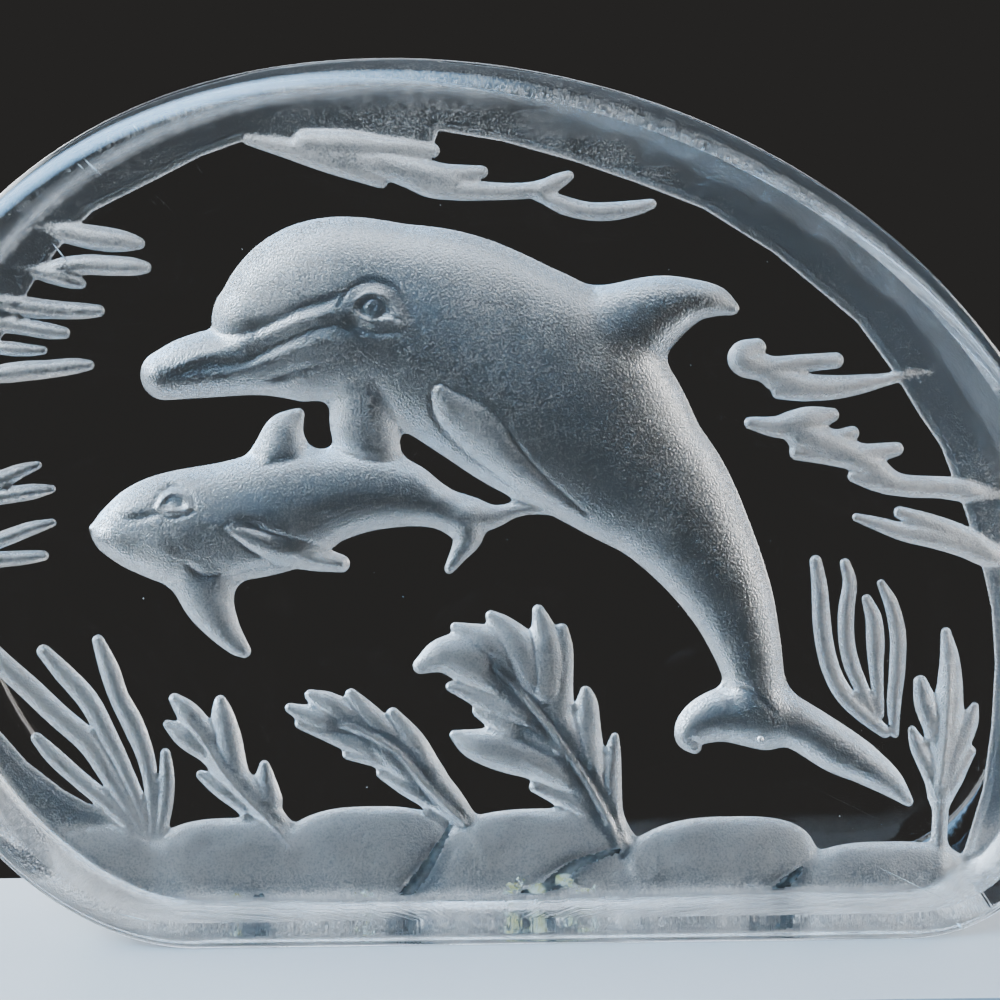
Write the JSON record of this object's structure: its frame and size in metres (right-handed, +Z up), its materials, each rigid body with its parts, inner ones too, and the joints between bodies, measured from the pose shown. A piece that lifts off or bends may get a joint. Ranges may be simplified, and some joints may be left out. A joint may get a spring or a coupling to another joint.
{
  "type": "glass dolphin paperweight",
  "caption": "Upright block of clear cast glass with a flat base and rounded outline, a dolphin and its calf among weed sunk into the back as a frosted relief.",
  "frame": {"origin": "middle of the bounding box, on the flat base", "axes": "+X to the right seen from the front, +Y towards the carved back, +Z up from the flat base; the polished front faces -Y"},
  "size_m": [0.15, 0.036, 0.1075],
  "materials": {
    "clear_glass": "fire-polished sides, polished front and window, frosted relief and border"
  },
  "bodies": {
    "root": {"glass_block": "clear_glass"}
  },
  "joints": []
}
